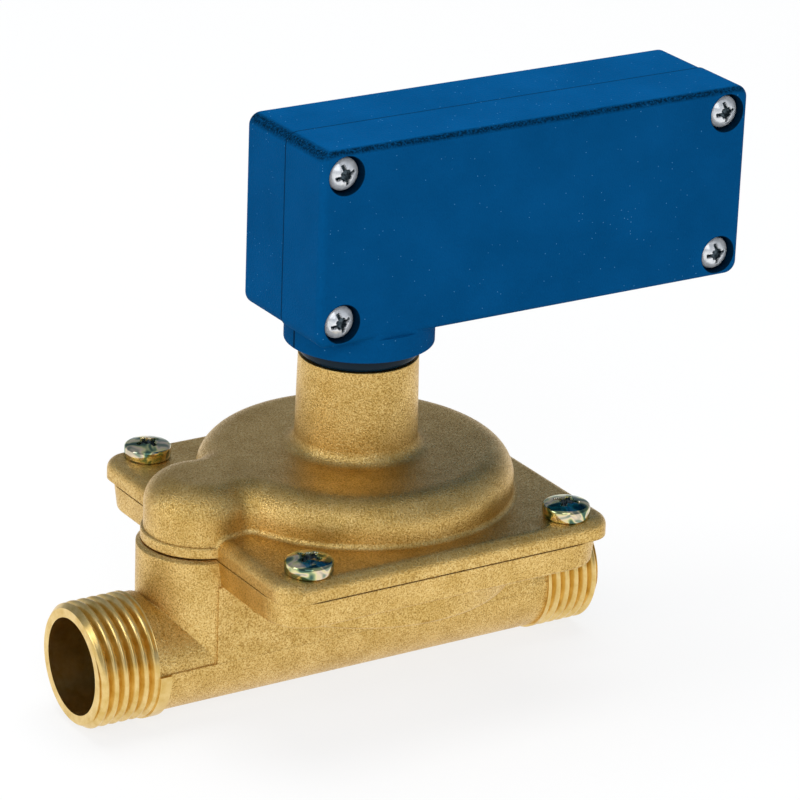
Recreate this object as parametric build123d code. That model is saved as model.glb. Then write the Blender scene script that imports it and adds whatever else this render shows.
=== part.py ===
from build123d import *
import os

# Diaphragm flow switch for a G 1/2 water line: a cast brass body on the pipe, a cast brass
# cover with a neck, and a two-part moulded housing with a snap-action switch on the neck.
# Millimetres. The pipe runs along X, the neck stands along Z, both through the origin.
# Water comes in at +X and leaves at -X.

# Pipe and its two threaded ends
pipe_d = 20.2
port_bore_d = 16.25
thread_d = 20.955
thread_length = 10.6
thread_chamfer = 0.85
outlet_shoulder = 2.25
inlet_shoulder = 1.75
stop_band_d = 21.5
stop_band_width = 2.1

# Diaphragm, the chamber round it and the plates that clamp it
chamber_d = 42.0
rubber = 1.0
rim_land = 3.0
roll_play = 1.0
roll_width = 6.0
roll_height = 2.0
plate_inset = 1.0
plate_thickness = 1.2
plate_edge = 0.4
hole_play = 0.3
ceiling_wall = 3.4

# Boss that leads the throat pressure up to the cover, and the wall between pipe and flange
seal_land = 1.75
boss_d = 20.0
boss_rim_width = 0.7
boss_rim_drop = 0.5
transfer_d = 4.5
web_width = 20.5
web_overlap = 1.55
web_end_inset = 1.35
casting_step = 0.25

# Body flange and the bowl under it
parting_z = 18.25
parting_slit = 0.2
parting_slit_depth = 0.8
body_flange_inset = 0.2
body_flange_corner = 7.3
body_flange_thickness = 4.75
body_flange_draft = 7.0
body_flange_edge = 0.5
bowl_wall = 6.05
bowl_depth = 5.75
bowl_edge = 0.8
feed_x = 9.0
feed_d = 4.5

# Cover flange, dome and lobe
flange_land_x = 4.3
flange_land_y = 4.05
flange_corner = 4.0
flange_thickness = 3.45
flange_round = 1.9
dome_wall = 5.4
dome_height = 7.75
dome_round = 5.0
dome_root = 0.9
lobe_offset = 0.7
lobe_margin = 0.55
lobe_lift = 0.35
lobe_throat_round = 2.6
lobe_lip = 0.45
lobe_lip_height = 1.8
lobe_lip_round = 0.4
channel_d = 4.0
channel_rise = 4.95

# Neck and the spigot that the housing grips
spigot_d = 16.0
neck_shoulder = 1.95
neck_taper = 0.3
neck_root = 2.2
neck_height = 16.0
spigot_drop = 1.05
groove_rise = 1.15
groove_width = 1.6
groove_depth = 0.9
spring_bore_d = 13.0
spring_bore_drop = 4.45
spindle_web = 2.6
spindle_web_play = 0.25
seal_seat_d = 8.4

# Cover screws, M4 pan heads
cover_screw_inset_x = 6.9
cover_screw_inset_y = 4.5
m4_d = 4.0
m4_play = 0.25
m4_head_d = 7.9
m4_head_height = 2.8
m4_head_band = 1.75
m4_bite = 4.05
screw_point = 0.5

# Spindle, with the nut under the plates
spindle_d = 4.0
running_gap = 0.04
spindle_collar_d = 10.0
spindle_collar_height = 1.4
spindle_tip_round = 1.4
spindle_tail = 1.35
nut_across_flats = 7.0
nut_height = 3.2

# Return spring, seals and guide
spring_wire = 0.9
spring_mean_d = 8.6
spring_turns = 7
seal_height = 2.0
seal_round = 0.6
guide_height = 5.2
guide_chamfer = 0.4
transfer_seal_d = 8.0
transfer_seal_depth = 1.6
neck_seal_height = 2.75
neck_seal_inset = 0.1
neck_seal_round = 0.85
neck_seal_round_share = 0.46

# Throat insert in the bore, under the boss
insert_length = 15.0
insert_mouth_wall = 0.6
throat_d = 10.5
throat_length = 3.0
tap_d = 3.0

# Housing, two shells that meet on the plane y = 0
housing_left = -15.0
housing_right = 67.45
housing_front = -11.85
housing_rear = 12.75
housing_height = 33.2
housing_wall = 2.0
housing_corner = 2.2
housing_inner_corner = 0.4
housing_edge = 1.3
seam_step = 0.15
tongue_height = 1.2
tongue_width = 0.9
shell_gap = 0.1
collar_d = 24.8
collar_height = 3.9
corner_boss_d = 7.6

# Housing screws, M3 pan heads in recesses
housing_screw_side = 4.4
housing_screw_top = 4.3
housing_screw_bottom = 3.95
recess_play = 0.45
recess_depth = 2.2
m3_d = 3.0
m3_play = 0.15
m3_head_d = 5.6
m3_head_height = 2.3
m3_head_band = 1.2
housing_screw_bite = 7.35

# Snap-action switch
switch_gap = 0.3
switch_length = 27.8
switch_thickness = 10.3
switch_height = 15.9
switch_headroom = 5.8
switch_corner = 1.0
switch_hole_inset = 2.8
switch_post_d = 6.0
switch_screw_bite = 4.6
plunger_x = 6.5
plunger_d = 3.0
plunger_reach = 1.9
plunger_depth = 3.6
plunger_room = 1.3
plunger_tip_round = 0.6

# Lever under the switch, hinged on a pin between two ears
pivot_x = 14.5
pin_d = 1.0
knuckle_d = 2.0
ear_thickness = 1.2
ear_width = 3.2
lever_width = 5.0
lever_thickness = 0.4
lever_tail = 2.5
touch_gap = 0.3

# Switch terminals, bent from strip
tab_width = 4.8
tab_thickness = 0.5
tab_length = 8.0
tab_root = 3.0
tab_corner = 1.0
tab_hole_d = 1.6
tab_hole_inset = 2.4
open_tab_rise = 5.2
closed_tab_rise = 11.2
common_tab_inset = 5.0
common_tab_rise = 2.2

# Cable inlet bush in the middle of the right-hand end wall
bush_d = 12.0
bush_flange_d = 15.0
bush_outer_flange = 0.8
bush_inner_flange = 1.5
cable_d = 7.0

# Widths and places along the pipe that follow from the sizes above
diaphragm_d = chamber_d + 2 * rim_land
roll_outer_d = chamber_d - 2 * roll_play
roll_inner_d = roll_outer_d - 2 * roll_width
plate_d = roll_inner_d - 2 * plate_inset
bowl_d = chamber_d + 2 * bowl_wall
dome_d = chamber_d + 2 * dome_wall
flange_x = bowl_d / 2 + flange_land_x
flange_y = bowl_d / 2 + flange_land_y
boss_x = -(diaphragm_d + transfer_seal_d) / 2 - seal_land
lobe_x = boss_x + lobe_offset
lobe_d = boss_d - 2 * lobe_margin
web_left = boss_x - web_overlap
web_right = flange_x - web_end_inset
thread_left = boss_x - boss_d / 2 - outlet_shoulder
thread_right = flange_x + inlet_shoulder
outlet_face = thread_left - thread_length
inlet_face = thread_right + thread_length

# Heights in the castings
flange_top = parting_z + flange_thickness
dome_top = flange_top + dome_height
ceiling_z = dome_top - ceiling_wall
underside = parting_z - body_flange_thickness
bowl_bottom = underside - bowl_depth
lobe_bottom = parting_z + lobe_lift
channel_z = parting_z + channel_rise
neck_top = dome_top + neck_height
neck_d_top = spigot_d + 2 * neck_shoulder
neck_d_bottom = neck_d_top + 2 * neck_taper
groove_d = spigot_d - 2 * groove_depth
spring_bore_top = neck_top - spring_bore_drop
seal_z = spring_bore_top + spindle_web
guide_z = seal_z + seal_height

# Heights of the moving core
seat_z = parting_z - rubber
lower_plate_z = seat_z - plate_thickness
nut_z = lower_plate_z - nut_height
spindle_bottom = nut_z - spindle_tail
lower_floor = spindle_bottom - touch_gap
collar_z = parting_z + plate_thickness
spring_low = collar_z + spindle_collar_height
bore_slide_d = spindle_d + 2 * running_gap

# Places in the housing
collar_bottom = neck_top + neck_seal_height
housing_bottom = collar_bottom + collar_height
housing_top = housing_bottom + housing_height
inner_rear = housing_rear - housing_wall
inner_bottom = housing_bottom + housing_wall
inner_top = housing_top - housing_wall
inner_right = housing_right - housing_wall
spigot_top = inner_bottom - spigot_drop
groove_z = collar_bottom + groove_rise
housing_mid_x = (housing_left + housing_right) / 2
housing_mid_z = (housing_bottom + housing_top) / 2
housing_width = housing_right - housing_left
recess_floor = housing_front + recess_depth
recess_d = m3_head_d + 2 * recess_play
switch_left = housing_left + housing_screw_side + corner_boss_d / 2 + switch_gap
switch_right = switch_left + switch_length
switch_top = inner_top - switch_headroom
switch_z = switch_top - switch_height
switch_front = -switch_thickness / 2
switch_back = switch_thickness / 2
lever_top = switch_z - plunger_reach - touch_gap
lever_bottom = lever_top - lever_thickness
spindle_top = lever_bottom - touch_gap
pivot_z = lever_bottom + knuckle_d / 2

# Centres of the screws
cover_screws_at = [
    (sx * (flange_x - cover_screw_inset_x), sy * (flange_y - cover_screw_inset_y))
    for sx in (-1, 1) for sy in (-1, 1)
]
housing_screws_at = [
    (x, z)
    for x in (housing_left + housing_screw_side, housing_right - housing_screw_side)
    for z in (housing_bottom + housing_screw_bottom, housing_top - housing_screw_top)
]
switch_screws_at = [
    (switch_right - switch_hole_inset, switch_z + switch_hole_inset),
    (switch_left + switch_hole_inset, switch_top - switch_hole_inset),
]


# Plain forms, set by where they start and end

def post(diameter, z0, z1, x=0.0, y=0.0):
    """Round bar along Z."""
    return Pos(x, y, (z0 + z1) / 2) * Cylinder(diameter / 2, z1 - z0)


def rod(diameter, x0, x1, z=0.0):
    """Round bar along X."""
    return Pos((x0 + x1) / 2, 0, z) * Rot(0, 90, 0) * Cylinder(diameter / 2, x1 - x0)


def dowel(diameter, y0, y1, x, z):
    """Round bar along Y."""
    return Pos(x, (y0 + y1) / 2, z) * Rot(90, 0, 0) * Cylinder(diameter / 2, y1 - y0)


def block(x0, x1, y0, y1, z0, z1):
    """Box between two corners."""
    return Pos((x0 + x1) / 2, (y0 + y1) / 2, (z0 + z1) / 2) * Box(x1 - x0, y1 - y0, z1 - z0)


def tube(outer_d, inner_d, z0, z1, x=0.0):
    """Round sleeve along Z."""
    return post(outer_d, z0, z1, x) - post(inner_d, z0, z1, x)


def seal_ring(outer_d, inner_d, z0, z1, corner, x=0.0):
    """Rubber ring along Z with a rounded section."""
    section = Pos((outer_d + inner_d) / 4, (z0 + z1) / 2) * RectangleRounded(
        (outer_d - inner_d) / 2, z1 - z0, corner)
    return Pos(x, 0, 0) * revolve(Plane.XZ * section, Axis.Z)


def pan_screw(shank_d, head_d, head_height, band, length):
    """Pan head screw, its seat at z = 0 and its shank down -Z, the crown domed above a band."""
    rim = head_d / 2
    crown_r = (rim ** 2 + (head_height - band) ** 2) / (2 * (head_height - band))
    half = (crown_r ** 2 - (rim / 2) ** 2) ** 0.5 - crown_r + head_height
    profile = make_face([
        Polyline((0, head_height), (0, 0), (rim, 0), (rim, band)),
        ThreePointArc((rim, band), (rim / 2, half), (0, head_height)),
    ])
    head = revolve(Plane.XZ * profile, Axis.Z)
    return head + chamfer(post(shank_d, -length, 0).edges().sort_by(Axis.Z)[0], screw_point)


# Brass castings

def threaded_end(x_face, x_root):
    """Pipe end at the thread's crest diameter, with its lead-in chamfer at the open face."""
    end = rod(thread_d, min(x_face, x_root), max(x_face, x_root))
    rim = end.edges().sort_by(Axis.X)[0 if x_face < x_root else -1]
    return chamfer(rim, thread_chamfer)


def make_pipe():
    """Pipe between its threaded ends, with the stop band and the step left by the mould."""
    band_right = thread_left + stop_band_width
    band = rod(stop_band_d, thread_left, band_right)
    band -= block(thread_left, band_right, -stop_band_d, stop_band_d, 0, stop_band_d)
    pipe = rod(pipe_d, thread_left, thread_right)
    upper = rod(pipe_d, band_right, web_left) - rod(pipe_d - 2 * casting_step, band_right, web_left)
    pipe -= upper & block(band_right, web_left, -pipe_d, pipe_d, 0, pipe_d)
    pipe += threaded_end(outlet_face, thread_left) + threaded_end(inlet_face, thread_right)
    return pipe + band


def make_body_flange():
    """Flange with drafted sides, its machined face standing a little proud of the casting."""
    left, right = -flange_x, flange_x - 2 * body_flange_inset
    middle, width = (left + right) / 2, right - left
    sketch = RectangleRounded(width, 2 * flange_y, body_flange_corner)
    flange = extrude(Plane((middle, 0, parting_z), z_dir=(0, 0, -1)) * sketch,
                     body_flange_thickness, taper=body_flange_draft)
    flange = fillet(flange.faces().sort_by(Axis.Z)[0].edges(), body_flange_edge)
    face = RectangleRounded(width - 2 * parting_slit_depth, 2 * (flange_y - parting_slit_depth),
                            body_flange_corner - parting_slit_depth)
    rebate = RectangleRounded(2 * width, 4 * flange_y, body_flange_corner) - face
    return flange - extrude(Plane((middle, 0, parting_z), z_dir=(0, 0, -1)) * rebate, parting_slit)


def make_valve_body():
    """Pipe, side web, transfer boss, bowl and flange in one casting, with its machined bores."""
    boss_rim = post(boss_d, 0, parting_z, boss_x).edges().sort_by(Axis.Z)[-1]
    bowl = post(bowl_d, bowl_bottom, underside)
    body = make_pipe()
    body += block(web_left, web_right, -web_width / 2, web_width / 2, 0, underside)
    body += chamfer(boss_rim, length=boss_rim_drop, length2=boss_rim_width)
    body += fillet(bowl.edges().sort_by(Axis.Z)[0], bowl_edge)
    body += make_body_flange()

    body -= rod(port_bore_d, outlet_face, inlet_face)
    body -= post(diaphragm_d, seat_z, parting_z)
    body -= post(chamber_d, lower_floor, seat_z)
    body -= post(feed_d, 0, lower_floor, feed_x)
    body -= post(transfer_d, 0, parting_z, boss_x)
    body -= post(transfer_seal_d, parting_z - transfer_seal_depth, parting_z, boss_x)
    for x, y in cover_screws_at:
        body -= post(m4_d, underside, parting_z, x, y)
    return body


def make_cover():
    """Flange, dome with its side lobe, and the neck, with the upper chamber and bores."""
    plate = extrude(Pos(0, 0, parting_z) * RectangleRounded(2 * flange_x, 2 * flange_y,
                                                            flange_corner), flange_thickness)
    plate = fillet(plate.faces().sort_by(Axis.Z)[-1].edges(), flange_round)

    dome = post(dome_d, lobe_bottom, dome_top) + post(lobe_d, lobe_bottom, dome_top, lobe_x)
    throats = [e for e in dome.edges().filter_by(Axis.Z) if abs(e.center().Y) > 1]
    dome = fillet(throats, lobe_throat_round)
    dome = fillet(dome.faces().sort_by(Axis.Z)[-1].edges(), dome_round)
    lip = post(lobe_d + 2 * lobe_lip, lobe_bottom, lobe_bottom + lobe_lip_height, lobe_x)
    lip = fillet(lip.edges().sort_by(Axis.Z)[-1], lobe_lip_round)
    cover = plate + dome
    foot = [e for e in cover.edges() if abs(e.center().Z - flange_top) < 1e-4
            and e.geom_type == GeomType.CIRCLE and e.length > dome_root]
    cover = fillet(foot, dome_root) + lip

    cover += Pos(0, 0, (dome_top + neck_top) / 2) * Cone(neck_d_bottom / 2, neck_d_top / 2,
                                                         neck_height)
    root = [e for e in cover.edges().filter_by(GeomType.CIRCLE)
            if abs(e.center().Z - dome_top) < 1e-4 and abs(e.radius - neck_d_bottom / 2) < 1e-3]
    cover = fillet(root, neck_root)
    cover += post(spigot_d, neck_top, spigot_top)
    cover -= tube(spigot_d, groove_d, groove_z, groove_z + groove_width)

    cover -= post(chamber_d, parting_z, ceiling_z)
    cover -= post(spring_bore_d, ceiling_z, spring_bore_top)
    cover -= post(spindle_d + 2 * spindle_web_play, spring_bore_top, seal_z)
    cover -= post(seal_seat_d, seal_z, spigot_top)
    cover -= post(transfer_d, lobe_bottom, channel_z, boss_x)
    cover -= rod(channel_d, boss_x, 0, channel_z)
    for x, y in cover_screws_at:
        cover -= post(m4_d + 2 * m4_play, parting_z, flange_top, x, y)
    return cover


def make_cover_screws():
    """Four M4 pan head screws through the cover into the body flange."""
    screw = pan_screw(m4_d, m4_head_d, m4_head_height, m4_head_band, flange_thickness + m4_bite)
    return [Pos(x, y, flange_top) * screw for x, y in cover_screws_at]


# Water side: throat, seals, diaphragm and its core

def make_throat_insert():
    """Turned venturi that narrows the bore under the boss, with its pressure tap."""
    mouth = port_bore_d / 2 - insert_mouth_wall
    throat = throat_d / 2
    half = insert_length / 2
    flat = throat_length / 2
    section = Polyline((-half, mouth), (-flat, throat), (flat, throat), (half, mouth),
                       (half, port_bore_d / 2), (-half, port_bore_d / 2), close=True)
    insert = Pos(boss_x, 0, 0) * revolve(Plane.XZ * make_face(section), Axis.X)
    return insert - post(tap_d, 0, port_bore_d, boss_x)


def make_transfer_seal():
    """O-ring round the pressure passage between body and cover."""
    return seal_ring(transfer_seal_d, transfer_d, parting_z - transfer_seal_depth, parting_z,
                     seal_round, boss_x)


def make_diaphragm():
    """Moulded rubber disc with one rolled fold, its rim held between body and cover."""
    inner, outer, rim = roll_inner_d / 2, roll_outer_d / 2, diaphragm_d / 2
    middle = (inner + outer) / 2
    hole = spindle_d / 2 + hole_play
    section = make_face([
        Line((hole, 0), (inner, 0)),
        ThreePointArc((inner, 0), (middle, roll_height), (outer, 0)),
        Polyline((outer, 0), (rim, 0), (rim, rubber), (outer, rubber)),
        ThreePointArc((outer, rubber), (middle, roll_height + rubber), (inner, rubber)),
        Polyline((inner, rubber), (hole, rubber), (hole, 0)),
    ])
    return Pos(0, 0, seat_z) * revolve(Plane.XZ * section, Axis.Z)


def make_plate(z0, outer_face):
    """Round clamping plate, its edge rounded on the side away from the rubber."""
    plate = post(plate_d, z0, z0 + plate_thickness)
    rims = plate.edges().filter_by(GeomType.CIRCLE).sort_by(Axis.Z)
    plate = fillet(rims[outer_face], plate_edge)
    return plate - post(spindle_d, z0, z0 + plate_thickness)


def make_plate_nut():
    """Hexagon nut that clamps the plates against the spindle's collar."""
    hexagon = RegularPolygon(nut_across_flats / 2, 6, major_radius=False)
    nut = extrude(Pos(0, 0, nut_z) * hexagon, nut_height)
    return nut - post(spindle_d, nut_z, lower_plate_z)


def make_spindle():
    """Turned stainless spindle with the collar that seats the plates and the spring."""
    shaft = post(spindle_d, spindle_bottom, spindle_top)
    shaft = fillet(shaft.edges().sort_by(Axis.Z)[-1], spindle_tip_round)
    return shaft + post(spindle_collar_d, collar_z, spring_low)


def make_return_spring():
    """Round-wire compression spring between the spindle's collar and the neck's web."""
    low = spring_low + spring_wire / 2
    high = spring_bore_top - spring_wire / 2
    coil = Helix((high - low) / spring_turns, high - low, spring_mean_d / 2, (0, 0, low))
    section = Plane(origin=coil @ 0, z_dir=coil % 0) * Circle(spring_wire / 2)
    return sweep(section, path=coil)


def make_spindle_seal():
    """Rubber ring that wipes the spindle."""
    return seal_ring(seal_seat_d, bore_slide_d, seal_z, guide_z, seal_round)


def make_guide_bush():
    """Bronze bush pressed over the seal, which guides the spindle."""
    bush = post(seal_seat_d, guide_z, guide_z + guide_height)
    bush = chamfer(bush.edges().sort_by(Axis.Z)[-1], guide_chamfer)
    return bush - post(bore_slide_d, guide_z, guide_z + guide_height)


def make_neck_seal():
    """Black rubber ring between the neck's shoulder and the housing's collar."""
    wall = neck_shoulder - neck_seal_inset
    return seal_ring(spigot_d + 2 * wall, spigot_d, neck_top, collar_bottom,
                     min(neck_seal_round, neck_seal_round_share * wall))


# Moulded housing

def facing(side):
    """Sketch plane in the middle of the housing that looks out of the front (-1) or rear (1)."""
    return Plane((housing_mid_x, 0, housing_mid_z), x_dir=(1, 0, 0), z_dir=(0, side, 0))


def housing_outline(inset, corner):
    """The housing's rounded outline, drawn in by a margin."""
    return RectangleRounded(housing_width - 2 * inset, housing_height - 2 * inset, corner)


def frame_ring(outer_inset, inner_inset, depth):
    """Closed frame inside the wall, from the seam towards the front."""
    outer = housing_outline(outer_inset, housing_inner_corner)
    inner = housing_outline(inner_inset, housing_inner_corner)
    return extrude(facing(-1) * (outer - inner), depth)


def make_shell(side, outer_y, inset):
    """Half of the housing: walls, outer face, half collar and corner bosses."""
    inner_y = outer_y - side * housing_wall
    solid = extrude(facing(side) * housing_outline(inset, housing_corner), abs(outer_y))
    shell = fillet(solid.faces().sort_by(Axis.Y)[0 if side < 0 else -1].edges(), housing_edge)
    half = block(-collar_d, collar_d, min(0, side * collar_d), max(0, side * collar_d),
                 collar_bottom, housing_top)
    skirt = post(collar_d, housing_bottom, housing_bottom + housing_edge) & solid
    shell += (post(collar_d, collar_bottom, housing_bottom + inset) & half) + (skirt & half)
    cavity = facing(side) * housing_outline(housing_wall, housing_inner_corner)
    shell -= extrude(cavity, abs(inner_y))
    for x, z in housing_screws_at:
        shell += dowel(corner_boss_d, min(0, inner_y), max(0, inner_y), x, z)
    shell -= post(spigot_d, collar_bottom, inner_bottom)
    rib = tube(spigot_d, groove_d + shell_gap, groove_z + shell_gap / 2,
               groove_z + groove_width - shell_gap / 2)
    shell += rib & half
    shell -= rod(bush_d, inner_right, housing_right, housing_mid_z)
    shell -= rod(bush_flange_d, housing_right - bush_outer_flange, housing_right, housing_mid_z)
    return shell


def make_housing_front():
    """Front shell, with the four recessed screw seats and the rebate for the tongue."""
    shell = make_shell(-1, housing_front, 0)
    for x, z in housing_screws_at:
        shell -= dowel(recess_d, housing_front, recess_floor, x, z)
        shell -= dowel(m3_d + 2 * m3_play, recess_floor, 0, x, z)
    return shell - frame_ring(housing_wall - tongue_width - shell_gap, housing_wall + shell_gap,
                              tongue_height + shell_gap)


def make_housing_rear():
    """Rear shell, with the tongue, the screw bosses and the posts that carry the switch."""
    shell = make_shell(1, housing_rear, seam_step)
    tongue = frame_ring(housing_wall - tongue_width, housing_wall, tongue_height)
    tongue -= post(spigot_d, collar_bottom, inner_bottom)
    tongue -= rod(bush_d, inner_right, housing_right, housing_mid_z)
    tongue -= rod(bush_flange_d, housing_right - bush_outer_flange, housing_right, housing_mid_z)
    shell += tongue
    for x, z in switch_screws_at:
        shell += dowel(switch_post_d, switch_back, inner_rear, x, z)
        shell -= dowel(m3_d, switch_back, switch_back + switch_screw_bite, x, z)
    for x, z in housing_screws_at:
        shell -= dowel(m3_d, 0, housing_screw_bite, x, z)
    return shell


def make_housing_screws():
    """Four M3 pan head screws that pull the front shell onto the rear one."""
    screw = Rot(90, 0, 0) * pan_screw(m3_d, m3_head_d, m3_head_height, m3_head_band,
                                      housing_screw_bite - recess_floor)
    return [Pos(x, recess_floor, z) * screw for x, z in housing_screws_at]


def make_cable_bush():
    """Rubber bush held in the split end wall, with the hole for the cable."""
    inner_end = inner_right - bush_inner_flange
    bush = rod(bush_d, inner_right, housing_right, housing_mid_z)
    bush += rod(bush_flange_d, housing_right - bush_outer_flange, housing_right, housing_mid_z)
    bush += rod(bush_flange_d, inner_end, inner_right, housing_mid_z)
    return bush - rod(cable_d, inner_end, housing_right, housing_mid_z)


# Snap-action switch and its lever

def make_switch_case():
    """Moulded case with mounting holes, plunger bore, terminal slots and hinge ears."""
    case = block(switch_left, switch_right, switch_front, switch_back, switch_z, switch_top)
    case = fillet(case.edges().filter_by(Axis.Y), switch_corner)
    ear_inner = lever_width / 2 + 2 * running_gap
    for side in (-1, 1):
        y0, y1 = sorted((side * ear_inner, side * (ear_inner + ear_thickness)))
        case += block(pivot_x - ear_width / 2, pivot_x + ear_width / 2, y0, y1,
                      pivot_z, switch_z + switch_corner)
        case += dowel(ear_width, y0, y1, pivot_x, pivot_z)
        case -= dowel(pin_d, y0, y1, pivot_x, pivot_z)
    for x, z in switch_screws_at:
        case -= dowel(m3_d + shell_gap, switch_front, switch_back, x, z)
    case -= post(plunger_d + 2 * running_gap, switch_z,
                 switch_z + plunger_depth + plunger_room, plunger_x)
    for rise in (open_tab_rise, closed_tab_rise):
        case -= tab_strip(switch_right - tab_root, switch_right, switch_z + rise)
    case -= common_root(switch_top)
    return case


def tab_strip(x0, x1, z):
    """Flat strip along X, as wide as a terminal."""
    return block(x0, x1, -tab_width / 2, tab_width / 2, z, z + tab_thickness)


def common_root(z1):
    """Upright strip that stands in the case's top, up to a height."""
    x = switch_left + common_tab_inset
    return block(x, x + tab_thickness, -tab_width / 2, tab_width / 2, switch_top - tab_root, z1)


def make_end_tab(rise):
    """Flat terminal that leaves the end of the case."""
    z = switch_z + rise
    end = switch_right + tab_length
    tab = tab_strip(switch_right - tab_root, end, z)
    tab = fillet(tab.edges().filter_by(Axis.Z).sort_by(Axis.X)[-2:], tab_corner)
    return tab - post(tab_hole_d, z, z + tab_thickness, end - tab_hole_inset)


def make_terminal_common():
    """Terminal that rises from the case's top and is bent over along it."""
    x = switch_left + common_tab_inset
    z = switch_top + common_tab_rise
    tab = common_root(z) + tab_strip(x, x + tab_length, z)
    return tab - post(tab_hole_d, z, z + tab_thickness, x + tab_length - tab_hole_inset)


def make_switch_screws():
    """Two M3 pan head screws through the case into the rear shell's posts."""
    length = switch_thickness + switch_screw_bite
    screw = Rot(90, 0, 0) * pan_screw(m3_d, m3_head_d, m3_head_height, m3_head_band, length)
    return [Pos(x, switch_front, z) * screw for x, z in switch_screws_at]


def make_switch_plunger():
    """Button of the switch, with a rounded tip."""
    plunger = post(plunger_d, switch_z - plunger_reach, switch_z + plunger_depth, plunger_x)
    return fillet(plunger.edges().sort_by(Axis.Z)[0], plunger_tip_round)


def make_lever_pin():
    """Steel pin across the two ears."""
    reach = lever_width / 2 + 2 * running_gap + ear_thickness
    return dowel(pin_d, -reach, reach, pivot_x, pivot_z)


def make_switch_lever():
    """Spring steel lever with its rolled knuckle round the pin."""
    half = lever_width / 2
    lever = block(-lever_tail, pivot_x, -half, half, lever_bottom, lever_top)
    lever += dowel(knuckle_d, -half, half, pivot_x, pivot_z)
    return lever - dowel(pin_d + 2 * running_gap, -half, half, pivot_x, pivot_z)


def make_pieces():
    """Every separate piece of the flow switch, by name."""
    return {
        "valve_body": make_valve_body(),
        "throat_insert": make_throat_insert(),
        "transfer_seal": make_transfer_seal(),
        "cover": make_cover(),
        "cover_screws": make_cover_screws(),
        "diaphragm": make_diaphragm(),
        "upper_plate": make_plate(parting_z, -1),
        "lower_plate": make_plate(lower_plate_z, 0),
        "plate_nut": make_plate_nut(),
        "spindle": make_spindle(),
        "return_spring": make_return_spring(),
        "spindle_seal": make_spindle_seal(),
        "guide_bush": make_guide_bush(),
        "neck_seal": make_neck_seal(),
        "housing_rear": make_housing_rear(),
        "housing_front": make_housing_front(),
        "housing_screws": make_housing_screws(),
        "cable_bush": make_cable_bush(),
        "switch_case": make_switch_case(),
        "switch_screws": make_switch_screws(),
        "switch_plunger": make_switch_plunger(),
        "switch_lever": make_switch_lever(),
        "lever_pin": make_lever_pin(),
        "terminal_common": make_terminal_common(),
        "terminal_open": make_end_tab(open_tab_rise),
        "terminal_closed": make_end_tab(closed_tab_rise),
    }


os.makedirs("parts", exist_ok=True)
for name, piece in make_pieces().items():
    solid = Compound(children=piece) if isinstance(piece, list) else piece
    export_step(solid, f"parts/{name}.step")
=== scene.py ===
"""Looks of a diaphragm flow switch: brass castings on a pipe under a blue moulded housing."""
import math

import bpy
import numpy as np
from mathutils import Matrix, Vector


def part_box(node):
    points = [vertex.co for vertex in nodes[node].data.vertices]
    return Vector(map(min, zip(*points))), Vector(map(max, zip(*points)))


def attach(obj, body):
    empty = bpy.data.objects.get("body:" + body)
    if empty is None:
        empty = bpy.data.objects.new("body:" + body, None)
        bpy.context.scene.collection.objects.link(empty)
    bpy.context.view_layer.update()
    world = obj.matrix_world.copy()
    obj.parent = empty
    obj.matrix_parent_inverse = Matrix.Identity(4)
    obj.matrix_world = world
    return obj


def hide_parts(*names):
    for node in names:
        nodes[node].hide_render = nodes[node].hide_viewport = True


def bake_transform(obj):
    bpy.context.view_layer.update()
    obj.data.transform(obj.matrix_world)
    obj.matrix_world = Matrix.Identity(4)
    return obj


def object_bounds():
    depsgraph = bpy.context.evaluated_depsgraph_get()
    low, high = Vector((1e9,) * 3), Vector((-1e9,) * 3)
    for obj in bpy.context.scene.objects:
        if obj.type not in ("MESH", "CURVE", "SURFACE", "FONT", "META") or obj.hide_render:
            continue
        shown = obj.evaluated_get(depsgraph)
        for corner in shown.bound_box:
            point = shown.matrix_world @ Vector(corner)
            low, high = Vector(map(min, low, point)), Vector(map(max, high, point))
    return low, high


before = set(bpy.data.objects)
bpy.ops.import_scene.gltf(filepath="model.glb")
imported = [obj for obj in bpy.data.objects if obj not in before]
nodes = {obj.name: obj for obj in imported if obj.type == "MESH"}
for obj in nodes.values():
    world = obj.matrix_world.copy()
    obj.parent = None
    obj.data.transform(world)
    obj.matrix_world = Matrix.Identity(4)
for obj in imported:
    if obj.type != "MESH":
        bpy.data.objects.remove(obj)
cad_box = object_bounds()


# Camera
# The picture is taken from the left front and above with a long lens, so the box stays nearly
# parallel. The camera leans over by two degrees, which tips the pipe. Angles are in radians.
MM = 0.001
TURN = -0.5686
RISE = 0.3812
LEAN = 0.0379
LENS_MM = 189.82
SENSOR_MM = 36.0
DISTANCE = 698.76 * MM
AIM = Vector((8.398 * MM, 0.0, 35.369 * MM))


def linked(name, data):
    """A new object of the data, in the scene."""
    made = bpy.data.objects.new(name, data)
    bpy.context.scene.collection.objects.link(made)
    return made


back = Vector((math.sin(TURN) * math.cos(RISE), -math.cos(TURN) * math.cos(RISE), math.sin(RISE)))
right = Vector((math.cos(TURN), math.sin(TURN), 0.0))
upright = Matrix((right, back.cross(right), back)).transposed().to_4x4()
camera_data = bpy.data.cameras.new("camera")
camera_data.lens = LENS_MM
camera_data.sensor_width = SENSOR_MM
camera_data.clip_start = 0.05
camera_data.clip_end = 20.0
camera = linked("camera", camera_data)
camera.matrix_world = (Matrix.Translation(AIM + back * DISTANCE)
                       @ (upright @ Matrix.Rotation(LEAN, 4, "Z")))
bpy.context.scene.camera = camera
bpy.context.scene.view_settings.view_transform = "Standard"


# Floor and light
# A white table that runs on past the picture, in a dim grey room, with soft lamps in front,
# above and at the left. Metal mirrors the bright table from below and the dim room from above.
# The table shows white to the eye and to metal, and keeps the shadow.
FLOOR_REACH = 3.0
TABLE_GLOW = 0.8
FRONT = (-0.6, -1.0, 0.8)
ABOVE = (0.1, 0.2, 1.2)
LEFT = (-1.1, 0.1, 0.5)


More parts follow.
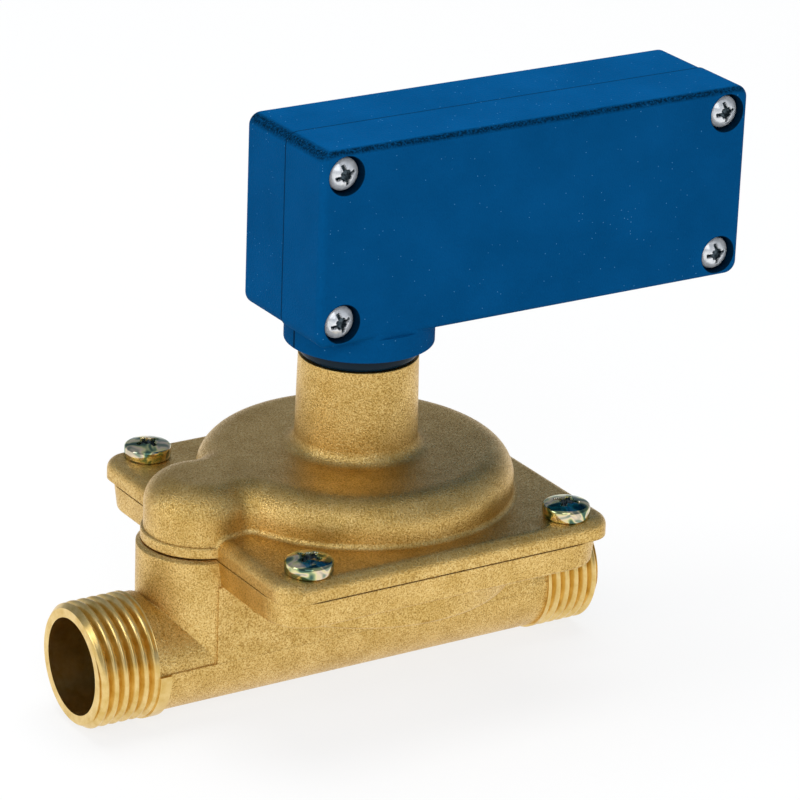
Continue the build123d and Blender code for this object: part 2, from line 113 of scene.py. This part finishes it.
def srgb(code):
    """Linear colour of an sRGB hex code: c / 12.92 up to 0.04045, and past it
    ((c + 0.055) / 1.055) ^ 2.4."""
    parts = np.array([int(code[i:i + 2], 16) for i in (1, 3, 5)]) / 255
    linear = np.where(parts <= 0.04045, parts / 12.92, ((parts + 0.055) / 1.055) ** 2.4)
    return (*linear.tolist(), 1.0)


def add(tree, kind, settings=None, stops=(), **links):
    """Adds a node, sets its properties and its colour stops of (position, hex colour), and fills
    its inputs, by name or by number as in i0, with values, sockets, or nodes, which stand for
    their first live output."""
    made = tree.nodes.new("ShaderNode" + kind)
    for name, value in (settings or {}).items():
        setattr(made, name, value)
    for name, value in links.items():
        socket = made.inputs[int(name[1:]) if name[1:].isdigit() else name.replace("_", " ")]
        if isinstance(value, bpy.types.Node):
            value = next(output for output in value.outputs if output.enabled)
        if isinstance(value, bpy.types.NodeSocket):
            tree.links.new(value, socket)
        else:
            socket.default_value = value
    if stops:
        marks = made.color_ramp.elements
        while len(marks) < len(stops):
            marks.new(1.0)
        for mark, (position, code) in zip(marks, stops):
            mark.position = position
            mark.color = srgb(code)
    return made


def material(name):
    """A new material and its empty tree."""
    made = bpy.data.materials.new(name)
    made.use_nodes = True
    made.node_tree.nodes.clear()
    return made, made.node_tree


floor_z = cad_box[0].z
floor_mesh = bpy.data.meshes.new("table")
floor_mesh.from_pydata([(x * FLOOR_REACH, y * FLOOR_REACH, floor_z)
                        for x, y in ((-1, -1), (1, -1), (1, 1), (-1, 1))], [], [(0, 1, 2, 3)])
floor = linked("table", floor_mesh)
paper, tree = material("white_paper_table")
path = add(tree, "LightPath")
seen = add(tree, "Math", {"operation": "MAXIMUM"}, i0=path.outputs["Is Camera Ray"],
           i1=path.outputs["Is Glossy Ray"])
seen = add(tree, "Math", {"operation": "MAXIMUM"}, i0=seen, i1=path.outputs["Is Transmission Ray"])
share = add(tree, "Math", {"operation": "MULTIPLY"}, i0=seen, i1=TABLE_GLOW)
matt = add(tree, "BsdfDiffuse", Color=srgb("#EDEDEB"))
glow = add(tree, "Emission", Color=srgb("#FFFFFF"), Strength=1.0)
mixed = add(tree, "MixShader", i0=share, i1=matt, i2=glow)
add(tree, "OutputMaterial", Surface=mixed)
floor_mesh.materials.append(paper)

world = bpy.data.worlds.new("room")
bpy.context.scene.world = world
world.use_nodes = True
tree = world.node_tree
tree.nodes.clear()
height = add(tree, "SeparateXYZ", Vector=add(tree, "TexCoord").outputs["Generated"])
sky = add(tree, "ValToRGB", Fac=height.outputs["Z"], stops=(
    (0.0, "#D0D0D2"), (0.06, "#B4B7BC"), (0.18, "#949AA4"), (0.5, "#7F8793"), (0.95, "#A6AAB2")))
add(tree, "OutputWorld", Surface=add(tree, "Background", Color=sky, Strength=1.0))


def soft_lamp(name, place, size, watts, mirrored):
    """Rectangular area lamp at a place, turned to the middle of the picture. Metal shows it only
    if it is mirrored."""
    data = bpy.data.lights.new(name, "AREA")
    data.shape = "RECTANGLE"
    data.size, data.size_y = size
    data.energy = watts
    lamp = linked(name, data)
    lamp.visible_glossy = mirrored
    look = (Vector(place) - AIM).to_track_quat("Z", "Y")
    lamp.matrix_world = Matrix.Translation(place) @ look.to_matrix().to_4x4()


soft_lamp("front_lamp", FRONT, (0.8, 0.8), 3.0, True)
soft_lamp("front_fill", FRONT, (0.8, 0.8), 6.0, False)
soft_lamp("top_lamp", ABOVE, (1.0, 1.0), 12.0, False)
soft_lamp("side_lamp", LEFT, (0.4, 0.6), 2.2, True)
soft_lamp("side_fill", LEFT, (0.4, 0.6), 1.8, False)


# Valve body
# One brass casting: pipe, web, transfer boss, bowl and flange, shot-blasted to an even fine
# grain. Both pipe ends are turned and threaded G 1/2 afterwards, so they are brighter, and so
# is the stop band behind the outlet's thread.
TOUCH = 0.001 * MM
NEAR = 10 * TOUCH
THREAD_R = 10.4775 * MM
THREAD_PITCH = 1.814 * MM
THREAD_DEPTH = 1.162 * MM
THREAD_LENGTH = 10.6 * MM
THREAD_CHAMFER = 0.85 * MM
THREAD_START = 0.9
THREAD_RUNOUT = 0.5
THREAD_RINGS = 190
THREAD_SIDES = 240
THREAD_SHARP = math.radians(40)
CREST_BREADTH = 1.06
STEP_TO_PIPE = 0.05 * MM
BAND_WIDTH = 2.6 * MM
BAND_R = 10.2 * MM
BORE_R = 8.125 * MM
SLEEVE_R = 9.0 * MM


def cast_brass(name):
    """Sand-cast brass after the shot blast: a satin gold with an even grain 0.26 mm apart that
    glitters, its hollows browner and duller, over slow clouds, on a surface that swells a
    little. Edges look broken by 0.3 mm."""
    made, tree = material(name)
    place = add(tree, "TexCoord").outputs["Object"]
    grain = add(tree, "TexNoise", Vector=place, Scale=1 / (0.26 * MM), Detail=2.0, Roughness=0.6)
    clouds = add(tree, "TexNoise", Vector=place, Scale=1 / (5 * MM), Detail=4.0, Roughness=0.6)
    skin = add(tree, "ValToRGB", Fac=clouds, stops=((0.36, "#E3C074"), (0.62, "#F6D58C")))
    fleck = add(tree, "ValToRGB", Fac=grain,
                stops=((0.34, "#B8A272"), (0.5, "#EFE4CC"), (0.6, "#FFFFFF")))
    tint = add(tree, "Mix", {"data_type": "RGBA", "blend_type": "MULTIPLY"}, i0=0.8, i6=skin,
               i7=fleck)
    gloss = add(tree, "MapRange", Value=grain, From_Min=0.35, From_Max=0.65, To_Min=0.5,
                To_Max=0.26)
    edge = add(tree, "Bevel", {"samples": 4}, Radius=0.3 * MM)
    swell = add(tree, "Bump", Height=clouds, Strength=0.35, Distance=0.2 * MM, Normal=edge)
    rough = add(tree, "Bump", Height=grain, Strength=1.0, Distance=0.12 * MM, Normal=swell)
    metal = add(tree, "BsdfPrincipled", Base_Color=tint, Metallic=1.0, Roughness=gloss,
                Normal=rough)
    add(tree, "OutputMaterial", Surface=metal)
    return made


def turned_brass(name, dull, bright, roughness):
    """Turned brass: rings left by the tool, drawn 0.25 mm apart so that they show, and faint
    stains 2.5 mm across between a dull and a bright colour."""
    made, tree = material(name)
    place = add(tree, "TexCoord").outputs["Object"]
    along = add(tree, "SeparateXYZ", Vector=place).outputs["X"]
    rings = add(tree, "TexNoise", {"noise_dimensions": "1D"}, W=along, Scale=1 / (0.25 * MM),
                Detail=1.0)
    stains = add(tree, "TexNoise", Vector=place, Scale=1 / (2.5 * MM), Detail=5.0, Roughness=0.65)
    tint = add(tree, "ValToRGB", Fac=stains, stops=((0.35, dull), (0.65, bright)))
    groove = add(tree, "Bump", Height=rings, Strength=0.3, Distance=0.03 * MM)
    metal = add(tree, "BsdfPrincipled", Base_Color=tint, Metallic=1.0, Roughness=roughness,
                Normal=groove)
    add(tree, "OutputMaterial", Surface=metal)
    return made


def closed_grid(name, points, finish, flip):
    """Smooth mesh of a grid of points[u, v], each joined to its neighbours, that closes on itself
    both ways."""
    rows, columns = points.shape[:2]
    index = np.arange(rows * columns).reshape(rows, columns)
    index = np.vstack([index, index[:1]])
    index = np.hstack([index, index[:, :1]])
    corners = [index[:-1, :-1], index[1:, :-1], index[1:, 1:], index[:-1, 1:]]
    faces = np.stack([c.ravel() for c in (corners[::-1] if flip else corners)], axis=1)
    mesh = bpy.data.meshes.new(name)
    mesh.from_pydata(points.reshape(-1, 3).tolist(), [], faces.tolist())
    mesh.shade_smooth()
    mesh.set_sharp_from_angle(angle=THREAD_SHARP)
    mesh.materials.append(finish)
    return linked(name, mesh)


def thread(name, face_x, inward, finish):
    """Threaded sleeve from an end face inwards. The radius is the root plus the depth times the
    sine of a quarter turn times a triangle of the phase x / pitch - angle / 2 pi: round crests
    and narrow valleys. It is held under a 45 degree cone that rises from the end face, and
    fills up to the crest over the last half turn. The sleeve closes on itself along its inner
    radius."""
    x = np.linspace(0, THREAD_LENGTH, THREAD_RINGS)
    angle = np.linspace(0, 2 * np.pi, THREAD_SIDES, endpoint=False)
    phase = x[:, None] / THREAD_PITCH - inward * angle[None, :] / (2 * np.pi) + THREAD_START
    triangle = np.clip(np.abs(2 * (phase % 1) - 1) * CREST_BREADTH, 0, 1)
    valley = THREAD_DEPTH * (1 - np.sin(np.pi / 2 * triangle))
    runout = np.clip((THREAD_LENGTH - x[:, None]) / (THREAD_RUNOUT * THREAD_PITCH), 0, 1)
    cone = THREAD_R - THREAD_CHAMFER + x[:, None]
    radius = np.minimum(THREAD_R - valley * runout, cone)
    along = np.broadcast_to(x[:, None], radius.shape)
    face = np.full((1, len(angle)), SLEEVE_R)
    radius = np.concatenate([face, radius, face], axis=0)
    along = np.concatenate([face * 0, along, face * 0 + x[-1]], axis=0)
    points = np.stack([face_x + inward * along, radius * np.cos(angle), radius * np.sin(angle)],
                      axis=-1)
    return closed_grid(name, points, finish, flip=inward < 0)


def joined_copy(node, name, reshape=None):
    """Copy of a node of the solid model, its loose corners joined where they meet to a micron and
    moved by a function of points and faces, with the solid's own smooth shading kept."""
    source = nodes[node].data
    count = len(source.polygons)
    places = np.empty(len(source.vertices) * 3, np.float32)
    source.vertices.foreach_get("co", places)
    corners = np.empty(count * 3, np.int32)
    source.loops.foreach_get("vertex_index", corners)
    shade = np.empty(count * 9, np.float32)
    source.corner_normals.foreach_get("vector", shade)
    places = places.reshape(-1, 3).astype(float)
    _, first, joined = np.unique(np.round(places / TOUCH), axis=0, return_index=True,
                                 return_inverse=True)
    faces = joined.reshape(-1)[corners].reshape(-1, 3)
    a, b, c = faces.T
    real = (a != b) & (b != c) & (c != a)
    points, faces = places[first], faces[real]
    if reshape:
        points, faces = reshape(points, faces)
    mesh = bpy.data.meshes.new(name)
    mesh.from_pydata(points.tolist(), [], faces.tolist())
    mesh.shade_smooth()
    mesh.normals_split_custom_set(shade.reshape(-1, 3, 3)[real].reshape(-1, 3))
    return linked(name, mesh), points, faces


body_low, body_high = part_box("valve_body")
shoulders = (body_low.x + THREAD_LENGTH, body_high.x - THREAD_LENGTH)


def cut_back(points, faces):
    """Draws the plain thread cylinders in to the sleeves' inner radius, apart from the corners
    that the pipe has at the shoulders, and turns the shoulders' faces outwards again."""
    x, radius = points[:, 0], np.hypot(points[:, 1], points[:, 2])
    ends = (x < shoulders[0] + TOUCH) | (x > shoulders[1] - TOUCH)
    crest = ends & (radius > SLEEVE_R) & (radius < THREAD_R + 2 * TOUCH)
    at_shoulder = np.minimum(abs(x - shoulders[0]), abs(x - shoulders[1])) < TOUCH
    move = crest & ~(at_shoulder & (radius < THREAD_R - STEP_TO_PIPE))
    points[move, 1:] *= (SLEEVE_R / radius[move])[:, None]
    for shoulder, outward in zip(shoulders, (-1, 1)):
        flat = np.all(abs(points[faces, 0] - shoulder) < TOUCH, axis=1)
        a, b, c = (points[faces[:, i]] for i in range(3))
        wrong = flat & (np.cross(b - a, c - a)[:, 0] * outward < 0)
        faces[wrong] = faces[wrong][:, ::-1]
    return points, faces


cast = cast_brass("shot_blasted_cast_brass")
machined = turned_brass("turned_brass", "#DDB968", "#F3D591", 0.28)
# The bore's grey, darker colours are painted shade inside the pipe
bore_shade_finish = turned_brass("bore_brass_painted_shade", "#74787E", "#9A9EA4", 0.6)
body, points, faces = joined_copy("valve_body", "valve_body_casting", cut_back)
for finish in (cast, machined, bore_shade_finish):
    body.data.materials.append(finish)
across, above = points[faces, 0], points[faces, 2]
radius = np.hypot(points[:, 1], points[:, 2])[faces].max(axis=1)
end_face = np.all((across < body_low.x + TOUCH) | (across > body_high.x - TOUCH), axis=1)
band = (across > shoulders[0] - TOUCH) & (across < shoulders[0] + BAND_WIDTH) & (above < NEAR)
band = np.all(band, axis=1) & (radius > BAND_R)
bore = radius < BORE_R + NEAR
# Finishes by their place on the piece: 0 cast, 1 machined, 2 bore in grey painted shade
finish_index = np.where(end_face | band, 1, np.where(bore, 2, 0)).astype(np.int32)
body.data.polygons.foreach_set("material_index", finish_index)
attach(body, "frame")
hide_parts("valve_body")
for name, face_x, inward in (("outlet_thread", body_low.x, 1),
                             ("inlet_thread", body_high.x, -1)):
    end = thread(name, face_x, inward, machined)
    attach(end, "frame")


# Throat insert
# A turned ring in the bore under the boss. It narrows the water's way, so that flow makes the
# pressure difference that lifts the diaphragm.
def dress(node, finish):
    """Gives a node of the solid model its finish in place of the plain one."""
    nodes[node].data.materials.clear()
    nodes[node].data.materials.append(finish)


# The insert in the bore takes the same grey painted shade
dress("throat_insert", bore_shade_finish)


# Diaphragm and seals
# Moulded rubber: the ring of the passage from body to cover, the diaphragm with its round fold,
# the spindle's seal, the ring between neck and housing, and the bush round the cable.
def black_rubber(name):
    """Moulded nitrile rubber: near black with a blue-teal tint that is a painted reflection of the
    blue housing, smooth, with a soft gloss and faint flow marks 3 mm apart."""
    made, tree = material(name)
    place = add(tree, "TexCoord").outputs["Object"]
    flow = add(tree, "TexNoise", Vector=place, Scale=1 / (3 * MM), Detail=3.0)
    gloss = add(tree, "MapRange", Value=flow, To_Min=0.15, To_Max=0.3)
    dents = add(tree, "Bump", Height=flow, Strength=0.1, Distance=0.05 * MM)
    # The blue-teal in the near-black base colour is a painted reflection of the blue housing
    shader = add(tree, "BsdfPrincipled", Base_Color=srgb("#06202E"), IOR=1.52,
                 Specular_IOR_Level=0.15, Roughness=gloss, Normal=dents)
    add(tree, "OutputMaterial", Surface=shader)
    return made


rubber = black_rubber("black_nitrile_rubber")
for node in ("transfer_seal", "diaphragm", "spindle_seal", "neck_seal", "cable_bush"):
    dress(node, rubber)


# Plates, nut and bush
# Turned brass: two plates and a nut that hold the diaphragm on the spindle, and the bush that
# guides it.
for node in ("upper_plate", "lower_plate", "plate_nut", "guide_bush"):
    dress(node, machined)


# Spindle and spring
# A turned stainless spindle with a wound stainless spring round it. The neck holds the spring's
# upper end, and the spindle's collar pushes the lower end up.
def turned_steel(name):
    """Turned stainless steel, grey and fairly bright, with tool rings drawn 0.2 mm apart so that
    they show."""
    made, tree = material(name)
    place = add(tree, "TexCoord").outputs["Object"]
    along = add(tree, "SeparateXYZ", Vector=place).outputs["Z"]
    rings = add(tree, "TexNoise", {"noise_dimensions": "1D"}, W=along, Scale=1 / (0.2 * MM),
                Detail=1.0)
    tint = add(tree, "ValToRGB", Fac=rings, stops=((0.3, "#A9A8A4"), (0.7, "#C8C6C1")))
    groove = add(tree, "Bump", Height=rings, Strength=0.2, Distance=0.02 * MM)
    metal = add(tree, "BsdfPrincipled", Base_Color=tint, Metallic=1.0, Roughness=0.3,
                Normal=groove)
    add(tree, "OutputMaterial", Surface=metal)
    return made


steel = turned_steel("turned_stainless_steel")
dress("spindle", steel)
low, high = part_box("return_spring")
spring = joined_copy("return_spring", "return_spring_coil")[0]
spring.data.materials.append(steel)
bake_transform(spring)
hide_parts("return_spring")


# Cover
# The second brass casting: flange, dome with its side lobe, and the neck. It has the same
# blasted skin as the body and stays as the solid model gives it.
dress("cover", cast)


# Cover screws
# Four M4 pan head screws of steel, zinc plated and yellow chromated, driven with a cross
# recess. The chromate film gives each head patches of green, straw and cream.
M4_R = 2.0 * MM
M4_HEAD_R = 3.95 * MM
M4_HEAD = 2.8 * MM
M4_BAND = 2.15 * MM
M4_RECESS_R = 2.2 * MM
M4_RECESS_DEPTH = 1.9 * MM
M4_TURNS = (0.5, 0.15, 0.75, 0.3)
CROWN_EDGE = 0.35 * MM
SCREW_SIDES = 120
CROWN_RINGS = 60
SCREW_SHARP = math.radians(35)
# Where the recess's walls end and how wide they slope, in shares of its radius
ARM_SIDE = (0.2, 0.07)
ARM_END = (1, 0.1)
WELL_SIDE = (0.42, 0.1)
WELL_END = (0.5, 0.12)
FLOOR_RISE = 0.5
# Share of the recess's depth from which faces take the painted recess shade
SHADED_FROM = 0.15


def chromated_zinc(name):
    """Bright zinc under a thin chromate film, whose thickness changes over about 2.6 mm, with
    small marks 0.6 mm apart."""
    made, tree = material(name)
    place = add(tree, "TexCoord").outputs["Object"]
    film = add(tree, "TexNoise", Vector=place, Scale=1 / (2.6 * MM), Detail=1.0, Distortion=0.8)
    tint = add(tree, "ValToRGB", Fac=film, stops=(
        (0.36, "#4C6A5C"), (0.44, "#9CAE80"), (0.5, "#E8DEA4"), (0.56, "#E8D4BA"),
        (0.64, "#8C9A84")))
    marks = add(tree, "TexNoise", Vector=place, Scale=1 / (0.6 * MM), Detail=3.0)
    dents = add(tree, "Bump", Height=marks, Strength=0.12, Distance=0.05 * MM)
    metal = add(tree, "BsdfPrincipled", Base_Color=tint, Metallic=1.0, Roughness=0.14,
                Normal=dents)
    add(tree, "OutputMaterial", Surface=metal)
    return made


def cross_recess_shade(name):
    """Inside of a cross recess: dark and dull, mottled 0.5 mm apart, as painted shade in the
    recess.
    """
    made, tree = material(name)
    place = add(tree, "TexCoord").outputs["Object"]
    mottle = add(tree, "TexNoise", Vector=place, Scale=1 / (0.5 * MM), Detail=3.0)
    tint = add(tree, "ValToRGB", Fac=mottle, stops=((0.4, "#16242C"), (0.62, "#5C6A72")))
    metal = add(tree, "BsdfPrincipled", Base_Color=tint, Metallic=0.7, Roughness=0.45)
    add(tree, "OutputMaterial", Surface=metal)
    return made


def wall(reach, edge, width):
    """1 where the reach is well inside an edge, 0 outside it, with a straight slope between."""
    return np.clip((edge - reach) / width, 0, 1)


def cross_head(head_r, band, height, shank_r, length, recess_r, recess_depth, turn):
    """Screw as a polar grid from the tip up the shank and the head's side and over its crown. The
    height over the crown is a parabola less the cross recess: arms two fifths of its radius wide
    and a square well, with steep walls and a floor that rises outwards by half. A fourth column
    tells how far into the recess each point lies."""
    angle = np.linspace(0, 2 * np.pi, SCREW_SIDES, endpoint=False)
    rim = head_r - CROWN_EDGE
    rings = np.linspace(1, 0, CROWN_RINGS)[:, None]
    x, y = rim * rings * np.cos(angle), rim * rings * np.sin(angle)
    dome = band + (height - band) * (1 - rings ** 2)
    u = abs(x * math.cos(turn) + y * math.sin(turn)) / recess_r
    v = abs(y * math.cos(turn) - x * math.sin(turn)) / recess_r
    near, far = np.minimum(u, v), np.maximum(u, v)
    arms = wall(near, *ARM_SIDE) * wall(far, *ARM_END)
    well = wall(near, *WELL_SIDE) * wall(far, *WELL_END)
    inside = np.maximum(arms, well)
    floor = recess_depth * (1 - FLOOR_RISE * np.clip(far, 0, 1))
    crown = np.stack([x, y, dome - floor * inside, inside], axis=-1)
    # Radius and height of the bevelled tip, the shank, and the head's side with rounded edges
    r, z = np.array([
        (0, -length), (shank_r - 0.4 * MM, -length), (shank_r, 0.5 * MM - length), (shank_r, 0),
        (rim, 0), (head_r - 0.12 * MM, 0.1 * MM), (head_r, 0.4 * MM),
        (head_r, band - 0.45 * MM), (head_r - 0.1 * MM, band - 0.18 * MM)]).T[..., None]
    side = np.stack([r * np.cos(angle), r * np.sin(angle), z + 0 * angle, 0 * z * angle], axis=-1)
    return np.concatenate([side, crown], axis=0)


def screw_mesh(name, screws, finish, recess_finish):
    """One piece of several closed grids of points[row, column]: each grid's first and last row is
    a single pole, and each row closes round. Faces inside a recess take the second finish."""
    points, quads, fans, start = [], [], [], 0
    for grid in screws:
        rows, columns = grid.shape[0] - 2, grid.shape[1]
        index = start + 1 + np.arange(rows * columns).reshape(rows, columns)
        index = np.hstack([index, index[:, :1]])
        a, b, c, d = index[:-1, :-1], index[:-1, 1:], index[1:, 1:], index[1:, :-1]
        quads.append(np.stack([a, b, c, d], axis=-1).reshape(-1, 4))
        tip, top = np.full(columns, start), np.full(columns, start + 1 + rows * columns)
        fans.append(np.stack([tip, index[0, 1:], index[0, :-1]], axis=-1))
        fans.append(np.stack([top, index[-1, :-1], index[-1, 1:]], axis=-1))
        points += [grid[:1, 0], grid[1:-1].reshape(-1, 4), grid[-1:, 0]]
        start += rows * columns + 2
    points, quads, fans = np.concatenate(points), np.concatenate(quads), np.concatenate(fans)
    mesh = bpy.data.meshes.new(name)
    mesh.from_pydata(points[:, :3].tolist(), [], quads.tolist() + fans.tolist())
    mesh.shade_smooth()
    mesh.set_sharp_from_angle(angle=SCREW_SHARP)
    mesh.materials.append(finish)
    mesh.materials.append(recess_finish)
    # Faces deep in a recess take the painted shade
    deep = points[:, 3] > SHADED_FROM
    shaded = np.concatenate([deep[quads].all(axis=1), deep[fans].all(axis=1)]).astype(np.int32)
    mesh.polygons.foreach_set("material_index", shaded)
    return linked(name, mesh)


def corner_places(low, high, inset, other):
    """Four points, inset from a box's corners along X and one other axis."""
    return [(x, w) for x in (low.x + inset, high.x - inset)
            for w in (low[other] + inset, high[other] - inset)]


low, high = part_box("cover_screws")
heads = []
for turn, (x, y) in zip(M4_TURNS, corner_places(low, high, M4_HEAD_R, 1)):
    head = cross_head(M4_HEAD_R, M4_BAND, M4_HEAD, M4_R, high.z - low.z - M4_HEAD, M4_RECESS_R,
                      M4_RECESS_DEPTH, turn)
    heads.append(head + (x, y, high.z - M4_HEAD, 0))
# Painted shade for the inside of the cross recesses
recess_shade_finish = cross_recess_shade("cross_recess_shade")
screws = screw_mesh("m4_pan_head_screws", heads, chromated_zinc("yellow_chromated_zinc"), recess_shade_finish)
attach(screws, "frame")
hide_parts("cover_screws")


# Housing
# Two shells moulded in blue glass-filled nylon from a finely eroded tool. The grain is even,
# with hardly any gloss. Glints of glass near the skin are painted into the colour as pale
# specks here and there.
SEAM_HALF = 0.15 * MM
SEAM_FADE = 0.2 * MM
SEAM_DARK = 0.85
# Painted shade in the front shell's screw recesses
RECESS_R = 3.25 * MM
RECESS_RIM = RECESS_R + 0.02 * MM
RECESS_FADE = 0.1 * MM
RECESS_DARK = 0.9
RECESS_Y = -9 * MM
# Painted shade along the upper front and left edges
EDGE_FROM = -0.18
EDGE_TO = -0.46
EDGE_DARK = 0.8
# Pale specks painted in as glints of glass
SPECK_SHARE = 0.16
SPECK_R = 0.12
M3_HEAD_R = 2.8 * MM


def moulded_nylon(name, deep, light, centre, half):
    """Blue nylon with an eroded grain 0.35 mm apart and pale specks, a tenth of a millimetre
    across, in a few of the cells of a 0.7 mm pattern, which are painted glints. The upper front
    and left edges, where the normal's parts have opposite signs, get painted shade. A dark line
    follows the seam at y = 0, and painted shade darkens the screw recesses, half a span to each
    side of the centre: the point is folded by its absolute value, and its distance from one
    recess's axis is measured."""
    made, tree = material(name)
    where = add(tree, "TexCoord")
    place = where.outputs["Object"]
    grain = add(tree, "TexNoise", Vector=place, Scale=1 / (0.35 * MM), Detail=2.0)
    clouds = add(tree, "TexNoise", Vector=place, Scale=1 / (9 * MM), Detail=3.0)
    pigment = add(tree, "ValToRGB", Fac=clouds, stops=((0.3, deep), (0.7, light)))
    # Painted glints: pale specks in a few cells of the pattern
    cell = add(tree, "TexVoronoi", {"feature": "F1"}, Vector=place, Scale=1 / (0.7 * MM))
    chance = add(tree, "SeparateXYZ", Vector=cell.outputs["Color"])
    rare = add(tree, "Math", {"operation": "GREATER_THAN"}, i0=chance, i1=1 - SPECK_SHARE)
    dot = add(tree, "Math", {"operation": "LESS_THAN"}, i0=cell.outputs["Distance"], i1=SPECK_R)
    glint_speck = add(tree, "Math", {"operation": "MULTIPLY"}, i0=rare, i1=dot)
    blue = add(tree, "Mix", {"data_type": "RGBA"}, i0=glint_speck, i6=pigment, i7=srgb("#4F8CB8"))
    # Painted shade along the upper front and left edges, where the normal's Y or X part has the
    # opposite sign to its Z part, patchy with the grain
    facing = add(tree, "SeparateXYZ", Vector=where.outputs["Normal"])
    front, left = (add(tree, "Math", {"operation": "MULTIPLY"}, i0=facing.outputs[side],
                       i1=facing.outputs["Z"]) for side in ("Y", "X"))
    edge = add(tree, "Math", {"operation": "MINIMUM"}, i0=front, i1=left)
    edge_shade = add(tree, "MapRange", Value=edge, From_Min=EDGE_FROM, From_Max=EDGE_TO, To_Min=0.0,
                 To_Max=EDGE_DARK)
    patchy = add(tree, "MapRange", Value=grain, From_Min=0.35, From_Max=0.6, To_Min=0.5,
                 To_Max=1.2)
    edge_shade = add(tree, "Math", {"operation": "MULTIPLY", "use_clamp": True}, i0=edge_shade, i1=patchy)
    depth = add(tree, "SeparateXYZ", Vector=place).outputs["Y"]
    off = add(tree, "Math", {"operation": "ABSOLUTE"}, i0=depth)
    seam = add(tree, "MapRange", Value=off, From_Min=SEAM_HALF, From_Max=SEAM_HALF + SEAM_FADE,
               To_Min=SEAM_DARK, To_Max=0.0)
    # Painted shade in the screw recesses of the front shell, in front of RECESS_Y
    fold = add(tree, "VectorMath", {"operation": "SUBTRACT"}, i0=place, i1=centre)
    fold = add(tree, "VectorMath", {"operation": "ABSOLUTE"}, i0=fold)
    fold = add(tree, "VectorMath", {"operation": "SUBTRACT"}, i0=fold, i1=half)
    fold = add(tree, "VectorMath", {"operation": "MULTIPLY"}, i0=fold, i1=(1, 0, 1))
    reach = add(tree, "VectorMath", {"operation": "LENGTH"}, i0=fold)
    sunk_recess_shade = add(tree, "MapRange", Value=reach, From_Min=RECESS_RIM,
              From_Max=RECESS_RIM + RECESS_FADE, To_Min=RECESS_DARK, To_Max=0.0)
    ahead = add(tree, "Math", {"operation": "LESS_THAN"}, i0=depth, i1=RECESS_Y)
    sunk_recess_shade = add(tree, "Math", {"operation": "MULTIPLY"}, i0=sunk_recess_shade, i1=ahead)
    # The seam line, joined with the painted shade of the edges and the screw recesses
    dark = add(tree, "Math", {"operation": "MAXIMUM"}, i0=edge_shade, i1=seam)
    dark = add(tree, "Math", {"operation": "MAXIMUM"}, i0=dark, i1=sunk_recess_shade)
    tint = add(tree, "Mix", {"data_type": "RGBA"}, i0=dark, i6=blue, i7=srgb("#021A2B"))
    rough = add(tree, "Bump", Height=grain, Strength=1.0, Distance=0.14 * MM)
    shader = add(tree, "BsdfPrincipled", Base_Color=tint, Roughness=0.7, IOR=1.5,
                 Specular_IOR_Level=0.01, Normal=rough)
    add(tree, "OutputMaterial", Surface=shader)
    return made


low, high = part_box("housing_screws")
nylon = moulded_nylon("blue_glass_filled_nylon", "#02497B", "#044F84", (low + high) / 2,
                      (high - low) / 2 - Vector((M3_HEAD_R, 0, M3_HEAD_R)))
for node in ("housing_front", "housing_rear"):
    dress(node, nylon)


# Housing screws
# Four M3 pan head screws of steel, bright zinc plated and driven with a cross recess. They are
# sunk in the front shell and draw the rear shell to it.
M3_R = 1.5 * MM
M3_HEAD = 2.3 * MM
M3_BAND = 1.2 * MM
M3_RECESS_R = 1.85 * MM
M3_RECESS_DEPTH = 1.4 * MM
M3_TURNS = (0.35, 0.3, 0.15, 0.2)


def bright_zinc(name):
    """Bright zinc plate: nearly white, smooth, slightly pitted 0.8 mm apart where the plate is
    thin. A part of its white is diffuse, from the plate's fine crystals."""
    made, tree = material(name)
    place = add(tree, "TexCoord").outputs["Object"]
    marks = add(tree, "TexNoise", Vector=place, Scale=1 / (0.8 * MM), Detail=4.0)
    tint = add(tree, "ValToRGB", Fac=marks, stops=((0.35, "#DCE0E4"), (0.65, "#F4F6F8")))
    dents = add(tree, "Bump", Height=marks, Strength=0.15, Distance=0.04 * MM)
    metal = add(tree, "BsdfPrincipled", Base_Color=tint, Metallic=0.4, Roughness=0.18,
                Normal=dents)
    add(tree, "OutputMaterial", Surface=metal)
    return made


zinc = bright_zinc("bright_zinc_plate")
low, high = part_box("housing_screws")
heads = []
for turn, (x, z) in zip(M3_TURNS, corner_places(low, high, M3_HEAD_R, 2)):
    head = cross_head(M3_HEAD_R, M3_BAND, M3_HEAD, M3_R, high.y - low.y - M3_HEAD, M3_RECESS_R,
                      M3_RECESS_DEPTH, turn)
    heads.append(head[..., [0, 2, 1, 3]] * (1, -1, 1, 1) + (x, low.y + M3_HEAD, z, 0))
screws = screw_mesh("m3_pan_head_screws", heads, zinc, recess_shade_finish)
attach(screws, "frame")
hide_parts("housing_screws")


# Switch
# A bought snap-action switch inside the housing: a black moulded case with a red button, a
# stainless lever on a pin, and three brass terminals. Two zinc plated screws hold it.
def moulded_case(name, dark, light):
    """Moulded thermoset: even and slightly glossy, with a faint grain 0.4 mm apart."""
    made, tree = material(name)
    place = add(tree, "TexCoord").outputs["Object"]
    grain = add(tree, "TexNoise", Vector=place, Scale=1 / (0.4 * MM), Detail=2.0)
    tint = add(tree, "ValToRGB", Fac=grain, stops=((0.3, dark), (0.7, light)))
    dents = add(tree, "Bump", Height=grain, Strength=0.15, Distance=0.03 * MM)
    shader = add(tree, "BsdfPrincipled", Base_Color=tint, Roughness=0.4, IOR=1.5, Normal=dents)
    add(tree, "OutputMaterial", Surface=shader)
    return made


dress("switch_case", moulded_case("black_moulded_case", "#121213", "#1C1C1E"))
dress("switch_plunger", moulded_case("red_moulded_button", "#9C2418", "#B02E20"))
for node in ("switch_lever", "lever_pin"):
    dress(node, steel)
for node in ("terminal_common", "terminal_open", "terminal_closed"):
    dress(node, machined)
dress("switch_screws", zinc)

bpy.context.view_layer.update()
